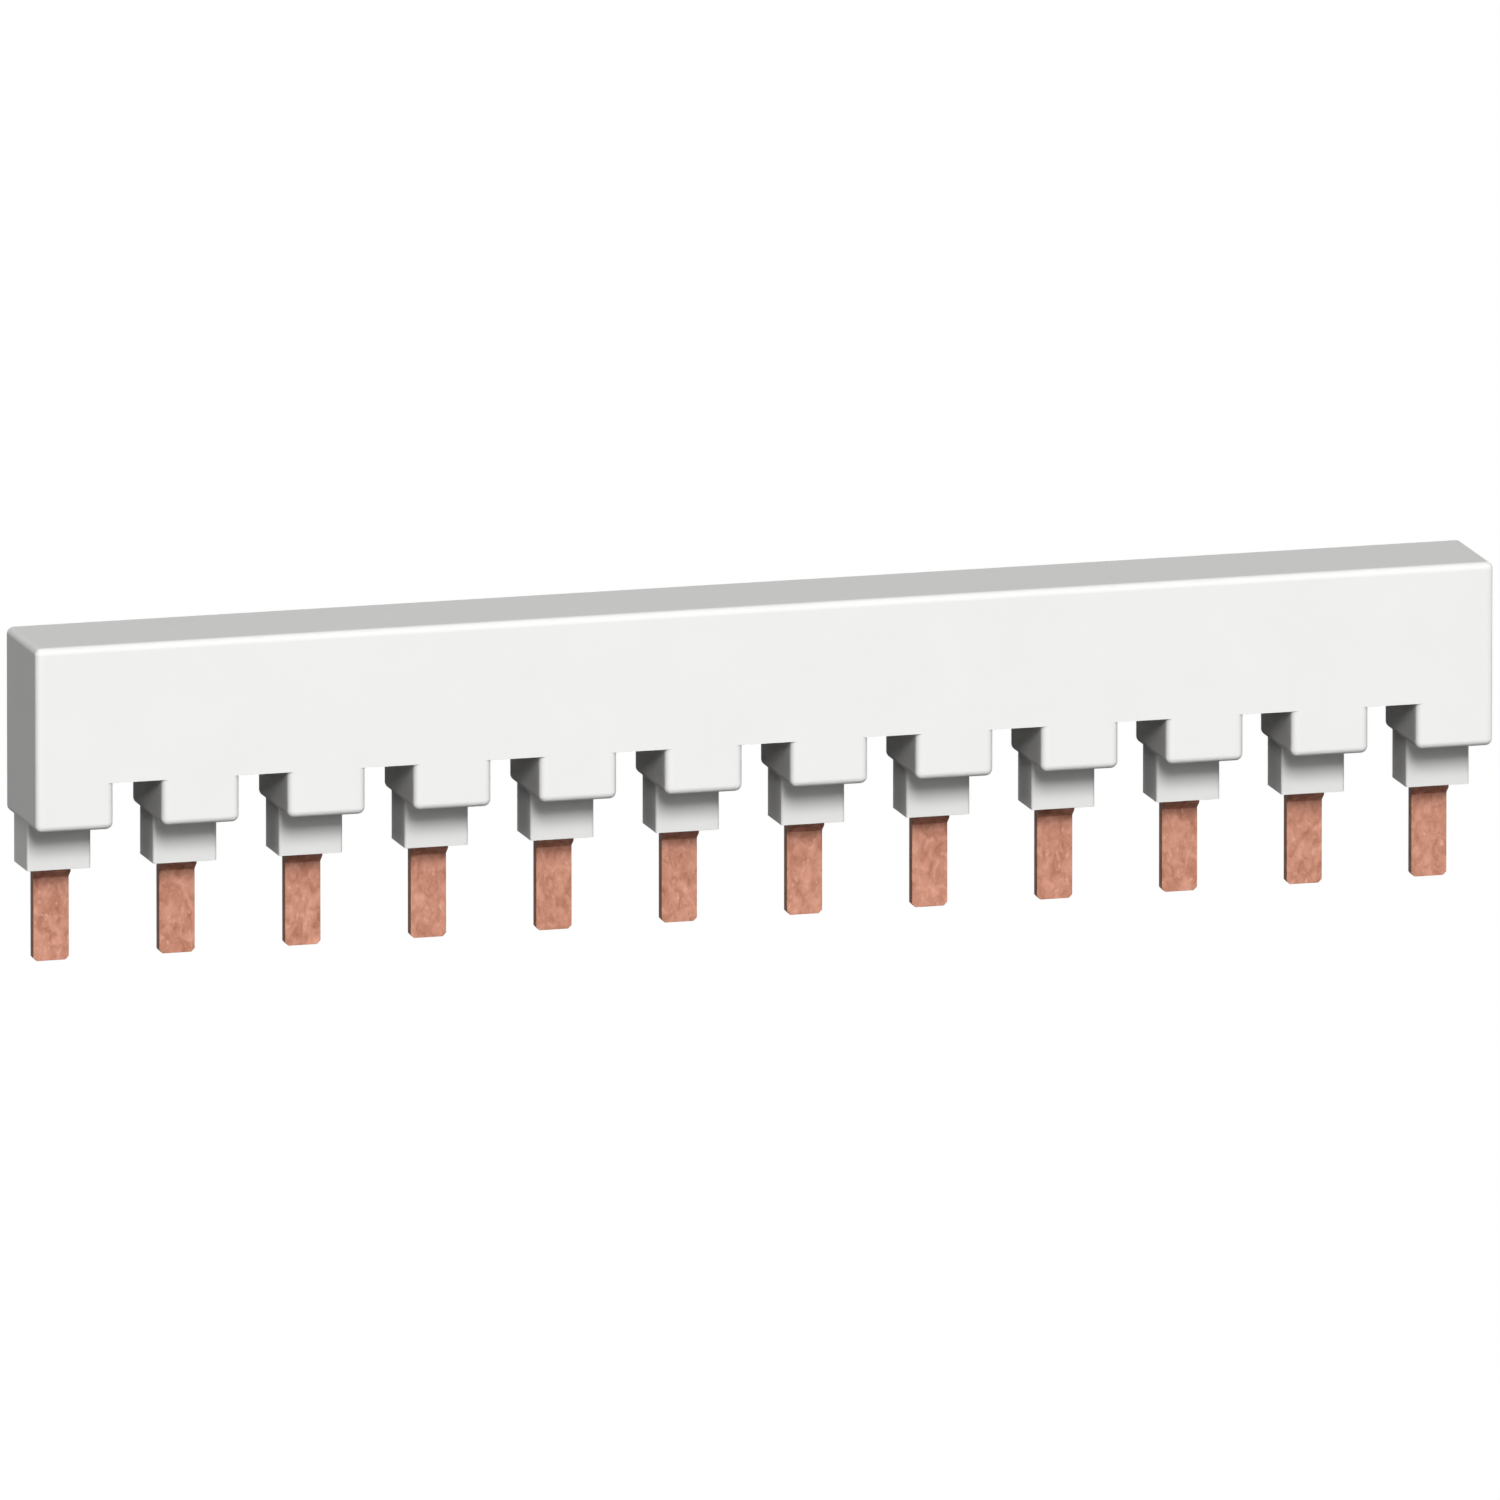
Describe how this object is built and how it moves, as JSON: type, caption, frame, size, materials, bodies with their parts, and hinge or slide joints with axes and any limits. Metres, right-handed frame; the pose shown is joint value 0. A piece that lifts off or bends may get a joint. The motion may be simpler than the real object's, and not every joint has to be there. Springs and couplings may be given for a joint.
{
  "type": "comb busbar",
  "caption": "Comb busbar: insulated housing with evenly spaced shrouds and collars, each holding a flat copper pin that plugs into the terminals of a row of breakers.",
  "frame": {"origin": "middle of the pin row, in the pins' mid plane, level with the underside of the collars", "axes": "+X along the row, to the right seen from the front; +Y from the front face to the rear cover; +Z from the pins up to the closed top"},
  "size_m": [0.209, 0.0163, 0.0468],
  "materials": {
    "housing_white": "fine moulded satin",
    "cover_white": "fine moulded satin",
    "separator_grey": "extruded matt",
    "copper": "bare mill-finished copper, slightly mottled"
  },
  "bodies": {
    "root": {"housing": "housing_white", "rear_cover": "cover_white", "phase_bar_1": "copper", "phase_bar_2": "copper", "phase_bar_3": "copper", "separator_front": "separator_grey", "separator_rear": "separator_grey"}
  },
  "joints": []
}
